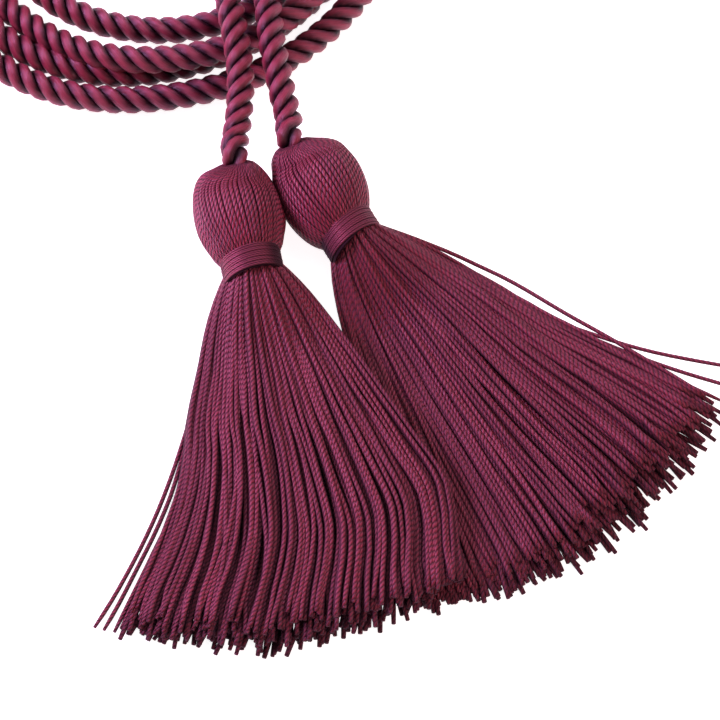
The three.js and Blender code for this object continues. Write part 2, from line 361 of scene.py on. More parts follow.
class TasselSettings(bpy.types.PropertyGroup):
    head_threads: IntProperty(
        name="Head threads", description="Threads folded down round a head", default=58)
    band_width: FloatProperty(
        name="Band width", description="Along the tassel", default=0.0052, unit="LENGTH")
    band_cover: FloatProperty(
        name="Band cover", description="Width of band that lies on the fringe", default=0.0012,
        unit="LENGTH")
    windings: IntProperty(name="Windings", description="Turns of thread in a neck band", default=11)
    sag: FloatProperty(
        name="Sag", description="Share of the length after which the fringe lies flat", default=0.3)
    layers: IntProperty(name="Layers", description="Layers of thread in a fringe", default=6)
    layer_threads: IntProperty(
        name="Threads in a layer", description="Threads side by side in a layer", default=62)
    thread: FloatProperty(
        name="Thread", description="Thickness of a thread of the fringe", default=0.00128, unit="LENGTH")


class FinishSettings(bpy.types.PropertyGroup):
    body: FloatVectorProperty(
        name="Body", description="Colour of the crown of a ply", subtype="COLOR",
        default=(0.245, 0.024, 0.053), min=0, max=1)
    # Painted shade: this near-black colour is painted into the grooves between plies, on the sides of
    # threads and strands that face others, and on the cores under them
    groove_shade: FloatVectorProperty(
        name="Groove", description="Colour between two plies", subtype="COLOR",
        default=(0.012, 0.001, 0.004), min=0, max=1)
    plies: IntProperty(name="Plies", description="Plies in a thread", default=3)
    ply_lay: FloatProperty(
        name="Ply lay", description="Length in which a ply goes once round", default=0.0039, unit="LENGTH")


class StageSettings(bpy.types.PropertyGroup):
    floor: FloatVectorProperty(
        name="Floor", description="Colour of the floor", subtype="COLOR",
        default=(0.92, 0.92, 0.92), min=0, max=1)
    elevation: FloatProperty(
        name="Elevation", description="Height of the camera above the horizon",
        default=math.radians(65), subtype="ANGLE")
    distance: FloatProperty(
        name="Distance", description="From the camera to the cord", default=1.0, unit="LENGTH")
    width: FloatProperty(
        name="Width", description="Width of what the camera sees", default=0.1696, unit="LENGTH")
    key: FloatProperty(name="Key", description="Watts of the light on the left", default=17.0)
    fill: FloatProperty(name="Fill", description="Watts of the light on the right", default=7.0)
    top: FloatProperty(name="Top", description="Watts of the light overhead", default=3.0)
    back: FloatProperty(name="Back", description="Watts of the light at the back", default=7.0)


# Blender work as by hand

def deselect_all():
    if bpy.context.mode != "OBJECT":
        bpy.ops.object.mode_set(mode="OBJECT")
    bpy.ops.object.select_all(action="DESELECT")


def edit_vertices(obj, chosen):
    """Enters edit mode on obj with the vertices selected for which chosen(place) is true."""
    bpy.context.view_layer.objects.active = obj
    obj.select_set(True)
    bpy.ops.object.mode_set(mode="EDIT")
    bpy.ops.mesh.select_mode(type="VERT")
    bpy.ops.mesh.select_all(action="DESELECT")
    shape = bmesh.from_edit_mesh(obj.data)
    for vertex in shape.verts:
        vertex.select_set(bool(chosen(vertex.co)))
    shape.select_flush(True)
    bmesh.update_edit_mesh(obj.data)


def resize_rings(obj, chosen, share, middle):
    """Scales the chosen vertices of obj about its axis."""
    edit_vertices(obj, chosen)
    bpy.ops.transform.resize(value=(share, share, 1), center_override=middle)
    bpy.ops.object.mode_set(mode="OBJECT")


def thread_blank(sides, steps, tip):
    """A straight thread of radius 1 from z = 0 to z = 1, with both ends closed."""
    deselect_all()
    bpy.ops.mesh.primitive_cylinder_add(
        vertices=sides, radius=1, depth=1 / steps, end_fill_type="NOTHING", location=(0, 0, 0.5 / steps))
    blank = bpy.context.active_object
    bpy.ops.object.transform_apply(location=True)
    row = blank.modifiers.new("row", "ARRAY")
    row.count = steps
    row.use_relative_offset = False
    row.use_constant_offset = True
    row.constant_offset_displace = (0, 0, 1 / steps)
    row.use_merge_vertices = True
    row.merge_threshold = 0.1 / steps
    bpy.ops.object.modifier_apply(modifier="row")
    edit_vertices(blank, lambda place: True)
    bpy.ops.mesh.fill_holes(sides=0)
    bpy.ops.mesh.normals_make_consistent(inside=False)
    bpy.ops.object.mode_set(mode="OBJECT")
    resize_rings(blank, lambda place: place.z > 1 - 0.5 / steps, tip, (0, 0, 1))
    return blank


# Paths and frames along them

def smooth_step(value, low, high):
    share = np.clip((value - low) / (high - low), 0, 1)
    return share * share * (3 - 2 * share)


def mix(low, high, share):
    return low + (high - low) * share


def unit(vectors):
    return vectors / np.maximum(np.linalg.norm(vectors, axis=-1, keepdims=True), 1e-12)


def plan(angle):
    """Unit vectors in plan, angle in degrees from -Y towards +X."""
    turn = np.radians(angle)
    return np.stack([np.sin(turn), -np.cos(turn), np.zeros_like(turn)], axis=-1)


def frames(paths):
    """Normals and binormals along paths, an array of threads, points and xyz, with no twist."""
    along = unit(np.gradient(paths, axis=1))
    normal = unit(UP - along[:, 0] * (UP * along[:, 0]).sum(-1, keepdims=True) + (1e-6, 0, 0))
    normals = [normal]
    for i in range(1, paths.shape[1]):
        normal = unit(normal - along[:, i] * (normal * along[:, i]).sum(-1, keepdims=True))
        normals.append(normal)
    normals = np.stack(normals, axis=1)
    return normals, np.cross(along, normals)


def through(points, fine=8):
    """A smooth curve through points: a centripetal Catmull-Rom spline."""
    points = np.array(points, float)
    points = np.vstack([2 * points[0] - points[1], points, 2 * points[-1] - points[-2]])
    made = []
    for a, b, c, d in zip(points, points[1:], points[2:], points[3:]):
        gaps = [np.linalg.norm(q - p) ** 0.5 for p, q in ((a, b), (b, c), (c, d))]
        ta, tb, tc, td = np.cumsum([0, *gaps])
        for t in np.linspace(tb, tc, fine, endpoint=False):
            ab = mix(a, b, (t - ta) / (tb - ta))
            bc = mix(b, c, (t - tb) / (tc - tb))
            cd = mix(c, d, (t - tc) / (td - tc))
            made.append(mix(mix(ab, bc, (t - ta) / (tc - ta)), mix(bc, cd, (t - tb) / (td - tb)),
                            (t - tb) / (tc - tb)))
    return np.vstack([made, points[-2]])


def even(points, count):
    """The same curve with count points at equal distances."""
    reached = np.concatenate([[0], np.cumsum(np.linalg.norm(np.diff(points, axis=0), axis=1))])
    at = np.linspace(0, reached[-1], count)
    return np.stack([np.interp(at, reached, points[:, i]) for i in range(3)], axis=1), reached[-1]


def lay_threads(name, blank, paths, radii, lay, shades, outward, crevice=CREVICE):
    """One mesh of copies of the straight blank, each bent along its own path.

    paths has a point for each ring of the blank, and radii, shades and outward a thickness,
    a brightness and the direction of the open side for each. The material reads the brightness,
    which is painted darker, as shade, on the sides that face other threads.
    """
    source = blank.data
    ring = np.empty(len(source.vertices) * 3)
    source.vertices.foreach_get("co", ring)
    ring = ring.reshape(-1, 3)
    steps = paths.shape[1] - 1
    at = np.clip(np.rint(ring[:, 2] * steps).astype(int), 0, steps)
    normals, binormals = frames(paths)
    sides = ring[:, 0, None] * normals[:, at] + ring[:, 1, None] * binormals[:, at]
    places = paths[:, at] + radii[:, at, None] * sides
    # Painted shade: sides that face away from the open side, towards other threads, are painted darker
    facing = (sides * np.broadcast_to(outward, paths.shape)[:, at]).sum(-1)
    bright = shades[:, at] * smooth_step(facing, *crevice)
    copies, count = places.shape[:2]
    faces = [np.array(face.vertices) for face in source.polygons]
    corners = np.concatenate(faces)
    sizes = np.array([len(face) for face in faces])
    mesh = bpy.data.meshes.new(name)
    mesh.vertices.add(copies * count)
    mesh.vertices.foreach_set("co", places.ravel())
    mesh.loops.add(copies * len(corners))
    mesh.loops.foreach_set(
        "vertex_index", (corners[None] + count * np.arange(copies)[:, None]).ravel().astype(np.int32))
    mesh.polygons.add(copies * len(sizes))
    starts = np.concatenate([[0], np.cumsum(sizes)[:-1]])
    mesh.polygons.foreach_set(
        "loop_start", (starts[None] + len(corners) * np.arange(copies)[:, None]).ravel().astype(np.int32))
    mesh.update(calc_edges=True)
    # Round in turns, with the seam's far side at 1, and along in lays
    turns = np.arctan2(ring[:, 1], ring[:, 0]) / (2 * np.pi) % 1
    round_at = turns[corners]
    for start, size in zip(starts, sizes):
        if np.ptp(round_at[start:start + size]) > 0.5:
            part = round_at[start:start + size]
            part[part < 0.5] += 1
    lengths = np.linalg.norm(np.diff(paths, axis=1), axis=2).sum(1)
    along = ring[corners, 2][None] * lengths[:, None] / lay + shades[:, :1] * 7
    layer = mesh.uv_layers.new(name="lay")
    layer.data.foreach_set("uv", np.stack([np.broadcast_to(round_at, along.shape), along], axis=-1).ravel())
    # The shade attribute carries each thread's brightness with its painted shade
    tint = mesh.attributes.new("shade", "FLOAT", "POINT")
    tint.data.foreach_set("value", bright.ravel())
    mesh.polygons.foreach_set("use_smooth", np.ones(copies * len(sizes), bool))
    mesh.update()
    obj = bpy.data.objects.new(name, mesh)
    bpy.context.collection.objects.link(obj)
    return obj


def joined(name, *objs):
    """Joins the pieces into one object called name."""
    deselect_all()
    for obj in objs:
        obj.select_set(True)
    bpy.context.view_layer.objects.active = objs[0]
    bpy.ops.object.join()
    objs[0].name = name
    objs[0].data.name = name
    return objs[0]


def remove(obj):
    mesh = obj.data
    bpy.data.objects.remove(obj)
    bpy.data.meshes.remove(mesh)


# Materials

class Signal:
    """A number that varies over a surface. An expression on it adds its Math nodes."""

    def __init__(self, tree, socket):
        self.tree = tree
        self.socket = socket

    def node(self, kind, settings=None, **inputs):
        """Adds a node of a kind, and returns it."""
        made = self.tree.nodes.new(kind)
        for key, value in (settings or {}).items():
            setattr(made, key, value)
        for key, value in inputs.items():
            place = made.inputs[int(key[1:]) if key[1:].isdigit() else key.replace("_", " ")]
            if isinstance(value, Signal):
                value = value.socket
            if isinstance(value, bpy.types.NodeSocket):
                self.tree.links.new(value, place)
            else:
                place.default_value = value
        return made

    def out(self, made, name=0):
        return Signal(self.tree, made.outputs[name])

    def maths(self, operation, *values):
        inputs = {f"i{i}": value for i, value in enumerate(values)}
        return self.out(self.node("ShaderNodeMath", {"operation": operation}, **inputs))

    def __add__(self, other):
        return self.maths("ADD", self, other)

    def __sub__(self, other):
        return self.maths("SUBTRACT", self, other)

    def __mul__(self, other):
        return self.maths("MULTIPLY", self, other)

    def __pow__(self, other):
        return self.maths("POWER", self, other)

    def __rsub__(self, other):
        return self.maths("SUBTRACT", other, self)

    __radd__ = __add__
    __rmul__ = __mul__

    def absolute(self):
        return self.maths("ABSOLUTE", self)

    def sine(self):
        return self.maths("SINE", self)

    def blend(self, low, high):
        """A colour from low, where this is 0, to high, where it is 1."""
        made = self.node("ShaderNodeMix", {"data_type": "RGBA"}, i0=self, i6=low, i7=high)
        return self.out(made, 2)


def new_material(name, roughness, specular, sheen):
    made = bpy.data.materials.new(name)
    made.use_nodes = True
    surface = made.node_tree.nodes["Principled BSDF"]
    surface.inputs["Roughness"].default_value = roughness
    surface.inputs["Specular IOR Level"].default_value = specular
    surface.inputs["Specular Tint"].default_value = (1.0, 0.74, 1.0, 1)
    surface.inputs["Sheen Weight"].default_value = sheen
    surface.inputs["Sheen Roughness"].default_value = 0.35
    surface.inputs["Sheen Tint"].default_value = (1.0, 0.45, 0.75, 1)
    made.diffuse_color = (0.2, 0.03, 0.06, 1)
    return made, surface


def colour(value, share=1.0):
    return (*[share * channel for channel in value], 1)


def ply_material(name, finish, depth, bright=1.0, contrast=1.0, specular=0.5):
    """Silky thread of several plies, read from the thread's own lay map."""
    made, surface = new_material(name, 0.42, specular, 0.05)
    start = Signal(made.node_tree, None)
    lay = start.node("ShaderNodeUVMap", {"uv_map": "lay"})
    split = start.node("ShaderNodeSeparateXYZ", Vector=lay.outputs["UV"])
    turned = (start.out(split, "X") - start.out(split, "Y")) * finish.plies
    ridge = (turned * math.pi).sine().absolute()
    shade = start.out(start.node("ShaderNodeAttribute", {"attribute_name": "shade"}), "Fac")
    stretch = start.node("ShaderNodeMapping", Vector=lay.outputs["UV"], Scale=(14, 5, 1))
    fibre = start.out(start.node(
        "ShaderNodeTexNoise", {"noise_dimensions": "2D"}, Vector=stretch.outputs[0], Scale=3.0, Detail=2.0))
    # Painted shade: the grooves between plies are painted darker, towards the groove colour, and the shade
    # attribute paints the crevices between threads darker
    crown = ((ridge ** 1.3) * contrast + (1 - contrast)) * (0.8 + fibre * 0.6)
    level = crown * shade
    surface_colour = level.blend(colour(finish.groove_shade), colour(finish.body, bright))
    made.node_tree.links.new(surface_colour.socket, surface.inputs["Base Color"])
    dulled = (1 - shade) * 0.5 + 0.4
    made.node_tree.links.new(dulled.socket, surface.inputs["Roughness"])
    height = (ridge ** 0.6) + fibre * 0.15
    bump = start.node("ShaderNodeBump", Strength=1.0, Distance=depth, Height=height)
    made.node_tree.links.new(bump.outputs[0], surface.inputs["Normal"])
    return made


def strand_material(name, finish):
    """Satin strand with fine filaments along it."""
    made, surface = new_material(name, 0.4, 0.6, 0.05)
    start = Signal(made.node_tree, None)
    lay = start.node("ShaderNodeUVMap", {"uv_map": "lay"})
    stretch = start.node("ShaderNodeMapping", Vector=lay.outputs["UV"], Scale=(30, 1.5, 1))
    filament = start.out(start.node(
        "ShaderNodeTexNoise", {"noise_dimensions": "2D"}, Vector=stretch.outputs[0], Scale=2.0, Detail=3.0))
    shade = start.out(start.node("ShaderNodeAttribute", {"attribute_name": "shade"}), "Fac")
    # Painted shade: the shade attribute paints the strands darker where they face each other and the middle
    # thread black
    level = shade * (0.5 + filament)
    surface_colour = level.blend(colour(finish.groove_shade), colour(finish.body))
    made.node_tree.links.new(surface_colour.socket, surface.inputs["Base Color"])
    bump = start.node("ShaderNodeBump", Strength=0.8, Distance=0.00025, Height=filament)
    made.node_tree.links.new(bump.outputs[0], surface.inputs["Normal"])
    return made


def core_shade_material(finish):
    """Packing under the threads, painted near black as the shade between them."""
    made, surface = new_material("thread core", 0.8, 0.2, 0)
    start = Signal(made.node_tree, None)
    place = start.node("ShaderNodeTexCoord")
    mottle = start.out(start.node(
        "ShaderNodeTexNoise", Vector=place.outputs["Object"], Scale=900.0, Detail=2.0))
    surface_colour = mottle.blend(colour(finish.groove_shade, 0.5), colour(finish.groove_shade, 1.3))
    made.node_tree.links.new(surface_colour.socket, surface.inputs["Base Color"])
    return made


# The cord's places

def axis_of(side):
    """Neck's middle, direction towards the cut ends, and direction to the right of it."""
    turn = TASSELS[side].turn
    return centre(side + "_neck_band"), plan(turn), plan(turn + 90)


def rope_end(side, settings, out):
    """A point out from where the rope goes into a head."""
    _, down, _ = axis_of(side)
    pole = head_places(side, settings, *np.zeros(3))
    return pole + out * (math.sin(TIP.angle) * UP - math.cos(TIP.angle) * down)


def raised(side, settings, points):
    """The points of a lead, moved along with the tipped end of its head."""
    tassel = TASSELS[side]
    middle, down, right = axis_of(side)
    level = middle - down * (settings.band_width / 2 + tassel.head_length) + right * tassel.lead_aside
    apart = np.linalg.norm((points - level) * (1, 1, 0), axis=1)
    fade = 1 - smooth_step(apart, 0, TIP.reach)
    return points + fade[:, None] * (rope_end(side, settings, 0) - level)


def head_places(side, settings, share, out, angle):
    """Points of a head, from a share of its length, a distance from its axis and an angle about it."""
    tassel = TASSELS[side]
    middle, down, right = axis_of(side)
    inside = np.clip(share, 0, 1)
    aside = out * np.cos(angle) + tassel.bulge * np.sin(np.pi * inside)
    aside = aside + tassel.rope_aside * (1 - smooth_step(share, 0, 0.2))
    slant = mix(tassel.top_slant, tassel.neck_slant, inside) * np.clip(share / HEAD_TOP, 0, 1)
    along = share * tassel.head_length + slant * aside
    height = np.minimum(out, HEAD_HEIGHT) * np.sin(angle)
    tip = TIP.angle * (1 - smooth_step(share, 0, TIP.share))
    back = along - TIP.pivot
    along = TIP.pivot + back * np.cos(tip) + height * np.sin(tip)
    height = height * np.cos(tip) - back * np.sin(tip)
    top = middle - down * (settings.band_width / 2 + tassel.head_length)
    return top + along[..., None] * down + aside[..., None] * right + height[..., None] * UP


def rope_route(settings):
    """The whole rope's middle from the right head round the coil to the left head."""
    stations = np.array(COIL)
    angles = np.arange(stations[0, 0], stations[-1, 0] + 1, COIL_STEP)
    radii = np.interp(angles, stations[:, 0], stations[:, 1])
    heights = np.interp(angles, stations[:, 0], stations[:, 2])
    for values in (radii, heights):
        values[1:-1] = (values[:-2] + 2 * values[1:-1] + values[2:]) / 4
    turns = np.radians(angles)
    coil = np.stack([
        COIL_CENTRE[0] + radii * np.cos(turns), COIL_CENTRE[1] + radii * np.sin(turns), heights], axis=1)
    route = [rope_end("right", settings, out) for out in (-LEAD_INSIDE, 0, LEAD_STRAIGHT)]
    route += list(raised("right", settings, np.array(RIGHT_LEAD) + SHIFT))
    route += list(coil + SHIFT)
    route += list(raised("left", settings, np.array(LEFT_LEAD[::-1]) + SHIFT))
    route += [rope_end("left", settings, out) for out in (LEAD_STRAIGHT, 0, -LEAD_INSIDE)]
    return through(route)


def head_profile(side, count):
    """Shares of a head's length and distances out from its axis, evenly spaced."""
    length = TASSELS[side].head_length
    points = [(ring.along * length, getattr(ring, side) * HEAD_HEIGHT, 0) for ring in HEAD_OUTLINE]
    points = [(-ROPE_HOLE.along, ROPE_HOLE.out, 0), *points]
    profile = even(through(points), count)[0][:, :2]
    return profile / (length, 1)


def press_plane(settings):
    """Point and direction, from left to right, of the plane where the two heads meet."""
    middles = [
        head_places(side, settings, np.array(0.52), np.array(0.0), np.array(0.0)) for side in TASSELS]
    return sum(middles) / 2, unit((middles[1] - middles[0]) * (1, 1, 0))


# Pieces

def make_rope(rope, tassel, finish):
    route = rope_route(tassel)
    length = even(route, 2)[1]
    steps = int(round(length / rope.step))
    middle, _ = even(route, steps + 1)
    normals, binormals = frames(middle[None])
    at = np.linspace(0, length, steps + 1)
    from_end = np.minimum(at, length - at)
    taper = mix(ROPE_TAPER.share, 1, smooth_step(from_end, ROPE_TAPER.start, ROPE_TAPER.full))
    reach = (rope.diameter - rope.strand) / 2 * taper[:, None]
    turned = 2 * np.pi * at / rope.lay
    outward = []
    for i in range(rope.strands):
        angle = (turned + 2 * np.pi * i / rope.strands)[:, None]
        outward.append(np.cos(angle) * normals[0] + np.sin(angle) * binormals[0])
    outward = np.stack([*outward, 0 * middle])
    radii = np.tile(rope.strand / 2 * taper, (rope.strands + 1, 1))
    radii[-1] = ROPE_CORE
    shades = np.ones(radii.shape)
    # The middle thread is painted black, as the shade between the strands
    shades[-1] = 0
    paths = middle + reach * outward
    paths[..., 2] = np.maximum(paths[..., 2], radii)
    blank = thread_blank(10, steps, 1)
    made = lay_threads("twisted_rope", blank, paths, radii, rope.lay, shades, outward, ROPE_CREVICE)
    remove(blank)
    made.data.materials.append(strand_material("rope satin", finish))
    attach(made, "root")
    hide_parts("coil", "left_lead", "right_lead")
    rope_end("right", tassel, 0)
    return made


def make_core(name, side, settings):
    """The bulb under a head's threads: a cylinder whose rings are resized to the head's outline."""
    deselect_all()
    rings = CORE_RINGS
    profile = head_profile(side, rings + 1)
    bpy.ops.mesh.primitive_cylinder_add(vertices=36, radius=1, depth=1, location=(0, 0, 0.5))
    core = bpy.context.active_object
    bpy.ops.object.transform_apply(location=True)
    edit_vertices(core, lambda place: True)
    bpy.ops.mesh.select_mode(type="EDGE")
    shape = bmesh.from_edit_mesh(core.data)
    for edge in shape.edges:
        edge.select_set(abs(edge.verts[0].co.z - edge.verts[1].co.z) > 0.5)
    bmesh.update_edit_mesh(core.data)
    bpy.ops.mesh.subdivide(number_cuts=rings - 1)
    bpy.ops.object.mode_set(mode="OBJECT")
    for i, (share, out) in enumerate(profile):
        level = i / rings
        resize_rings(
            core, lambda place: abs(place.z - level) < 0.2 / rings, out * CORE_SHARE, (0, 0, level))
    places = np.array([vertex.co for vertex in core.data.vertices])
    share = np.interp(places[:, 2], np.linspace(0, 1, rings + 1), profile[:, 0])
    out = np.hypot(places[:, 0], places[:, 1])
    angle = np.arctan2(places[:, 1], places[:, 0])
    places = press(head_places(side, settings, share, out, angle), side, settings, CORE_PRESS)
    core.data.vertices.foreach_set("co", places.ravel())
    edit_vertices(core, lambda place: True)
    bpy.ops.mesh.remove_doubles(threshold=1e-5)
    bpy.ops.mesh.normals_make_consistent(inside=False)
    bpy.ops.object.mode_set(mode="OBJECT")
    core.name = name
    return core


def press(places, side, settings, margin):
    """Moves points of a head to where the other one presses them."""
    point, towards = press_plane(settings)
    if side == "right":
        towards = -towards
    over = (places - point) @ towards + margin
    return places - np.maximum(over, 0)[..., None] * towards


def make_head(side, settings, finish):
    rng = np.random.default_rng(11 if side == "left" else 12)
    steps = HEAD_STEPS
    length = TASSELS[side].head_length
    fold = np.array([[HEAD_FOLD.along / length, HEAD_FOLD.out]])
    tail = np.array([[1 + HEAD_TAIL.along / length, HEAD_TAIL.out]])
    profile = np.vstack([fold, head_profile(side, steps - 1), tail])
    count = settings.head_threads
    angles = 2 * np.pi * (np.arange(count) + rng.uniform(-HEAD_UNEVEN, HEAD_UNEVEN, count)) / count
    share = np.linspace(0, 1, steps + 1)
    sway = rng.normal(0, HEAD_SWAY, (count, 1)) * np.sin(np.pi * share)
    angles = angles[:, None] + sway - HEAD_TWIST * share
    spacing = 2 * np.pi * profile[:, 1] / count
    radii = np.clip(0.5 * spacing, *HEAD_RADII)[None] * rng.uniform(0.94, 1.06, (count, 1))
    out = profile[None, :, 1] - radii * 0.95 + rng.uniform(-0.00010, 0.00010, (count, 1))
    shares = np.broadcast_to(profile[:, 0], out.shape)
    paths = press(head_places(side, settings, shares, out, angles), side, settings, radii)
    paths[..., 2] = np.maximum(paths[..., 2], radii)
    # Painted shade: sides of a head's threads that face its axis, towards other threads, are painted darker
    outward = unit(paths - head_places(side, settings, shares, 0 * out, angles))
    shades = np.broadcast_to(rng.uniform(0.75, 1, (count, 1)), out.shape)
    blank = thread_blank(8, steps, 1)
    threads = lay_threads("threads", blank, paths, radii, finish.ply_lay, shades, outward)
    remove(blank)
    threads.data.materials.append(ply_material(side + " head thread", finish, 0.00016, bright=1.05))
    core = make_core("core", side, settings)
    core.data.materials.append(core_shade_material(finish))
    made = joined(side + "_thread_head", threads, core)
    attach(made, "root")
    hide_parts(side + "_head")
    return made


def make_band(side, settings, finish):
    rng = np.random.default_rng(21 if side == "left" else 22)
    low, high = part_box(side + "_neck_band")
    outer = (high[2] - low[2]) / 2
    tassel = TASSELS[side]
    middle, down, right = axis_of(side)
    width = settings.band_width + settings.band_cover
    middle = middle + settings.band_cover / 2 * down
    pitch = width / settings.windings
    steps = BAND_STEPS * settings.windings
    turned = np.linspace(0, settings.windings, steps + 1)
    slant = mix(tassel.neck_slant, tassel.band_slant, turned / settings.windings)
    thick = BAND_RADIUS * pitch
    out = outer - thick * 0.8 + BAND_WANDER * np.sin(turned * 2.7 + rng.uniform(0, 6))
    along = -width / 2 + pitch / 2 + turned * (width - pitch) / settings.windings
    along = along + BAND_WANDER * np.sin(2 * np.pi * turned * 0.37 + rng.uniform(0, 6))
    angle = 2 * np.pi * turned
    outward = np.cos(angle)[:, None] * right + np.sin(angle)[:, None] * UP
    aside = out * np.cos(angle)
    path = middle + (along + slant * aside)[:, None] * down + out[:, None] * outward
    # Painted shade and painted highlight: the end towards the other tassel is painted darker, as it lies in
    # that tassel's shade, and the side that faces up and to the left is painted lighter
    towards = np.cos(angle) if side == "left" else -np.cos(angle)
    shades = BAND_BRIGHT.plain + BAND_BRIGHT.shaded * smooth_step(towards, *BAND_SHADE)
    shades = shades + BAND_BRIGHT.lit * smooth_step(outward @ unit(UP - right), *BAND_LIT)
    blank = thread_blank(8, steps, 0.8)
    radii = np.full((1, steps + 1), thick)
    wound = lay_threads(
        "wound", blank, path[None], radii, BAND_LAY * finish.ply_lay, shades[None], outward[None],
        BAND_CREVICE)
    remove(blank)
    wound.data.materials.append(
        ply_material(side + " band thread", finish, 0.00006, contrast=0.55, specular=0.5))
    deselect_all()
    bpy.ops.mesh.primitive_cylinder_add(vertices=40, radius=outer - 1.2 * thick, depth=width * 0.98)
    core = bpy.context.active_object
    edit_vertices(core, lambda place: True)
    bpy.ops.mesh.select_mode(type="FACE")
    bpy.ops.mesh.select_all(action="DESELECT")
    shape = bmesh.from_edit_mesh(core.data)
    for face in shape.faces:
        face.select_set(abs(face.normal.z) > 0.5)
    bmesh.update_edit_mesh(core.data)
    bpy.ops.mesh.inset(thickness=0.0008, depth=-0.0003)
    bpy.ops.object.mode_set(mode="OBJECT")
    places = np.array([vertex.co for vertex in core.data.vertices])
    core.data.vertices.foreach_set("co", (
        middle + (places[:, 2, None] + tassel.neck_slant * places[:, :1]) * down
        + places[:, 0, None] * right + places[:, 1, None] * UP).ravel())
    core.data.materials.append(core_shade_material(finish))
    made = joined(side + "_wound_band", wound, core)
    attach(made, "root")
    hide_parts(side + "_neck_band")
    return made


def side_angles(side, reach):
    """A fringe's left and right sides, as angles from its axis at distances from the apex."""
    curve = through(EDGES[side])
    return [np.interp(reach, curve[:, 0], curve[:, i]) for i in (1, 2)]


def fan_places(side, settings, reach, angle):
    """Points in plan, from distances from the fan's apex and angles from the tassel's axis."""
    middle, down, _ = axis_of(side)
    apex = middle + down * (settings.band_width / 2 - APEX)
    return apex + reach[..., None] * plan(angle + TASSELS[side].turn)


def fringe_heights(side, settings, share, depth, t):
    """Heights of threads at shares t of their lengths, depth running from 0, lowest, to 1, top."""
    low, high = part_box(side + "_neck_band")
    neck = (high[2] - low[2]) / 2 - 0.5 * settings.thread
    rim = neck * np.sqrt(np.clip(1 - share ** 2, 0, 1))
    levels = through(LEVELS[side])
    bottom = np.interp(share, levels[:, 0], levels[:, 1]) + 0.5 * settings.thread
    top = np.interp(share, levels[:, 0], levels[:, 2]) - 0.5 * settings.thread
    fall = smooth_step(t, 0, settings.sag)
    top = mix(mix(HEAD_HEIGHT + rim, 1.25 * top, fall), top, smooth_step(t, settings.sag, 1))
    bottom = mix(HEAD_HEIGHT - rim, bottom, fall)
    return mix(bottom, np.maximum(top, bottom), depth)


def fringe_threads(side, settings, rng):
    """Shares, gathering places, depths and lengths of a fringe's threads, layer by layer."""
    tassel = TASSELS[side]
    rows = []
    for layer in range(settings.layers):
        depth = layer / (settings.layers - 1)
        count = settings.layer_threads
        share = 2 * (np.arange(count) + rng.uniform(0.15, 0.85, count)) / count - 1
        locks = np.cumsum(rng.uniform(*LOCK_WIDTHS, 60)) - 1.2
        nearest = np.abs(share[:, None] - locks).argmin(1)
        gather = (locks[nearest] - share) * rng.uniform(*GATHERED, count)
        aside = rng.normal(0, 1, count) * np.where(rng.uniform(0, 1, count) < CROSSING, CROSSED, ASIDE)
        ragged = LOCK_CUT * rng.uniform(-1, 1, 60)[nearest] + rng.normal(0, THREAD_CUT, count)
        poking = np.where(rng.uniform(0, 1, count) < POKING, rng.uniform(*POKES, count), 0)
        cut = np.interp(share, (-1, 0, 1), tassel.cuts)
        reach = mix(cut, tassel.top_cut, depth ** 1.5) + ragged + poking * (depth < 0.4)
        drift = np.clip(share + gather + aside, -1, 1)
        rows.append(np.stack([share, drift, np.full(count, depth) + rng.normal(0, 0.04, count), reach]))
    return np.concatenate(rows, axis=1)


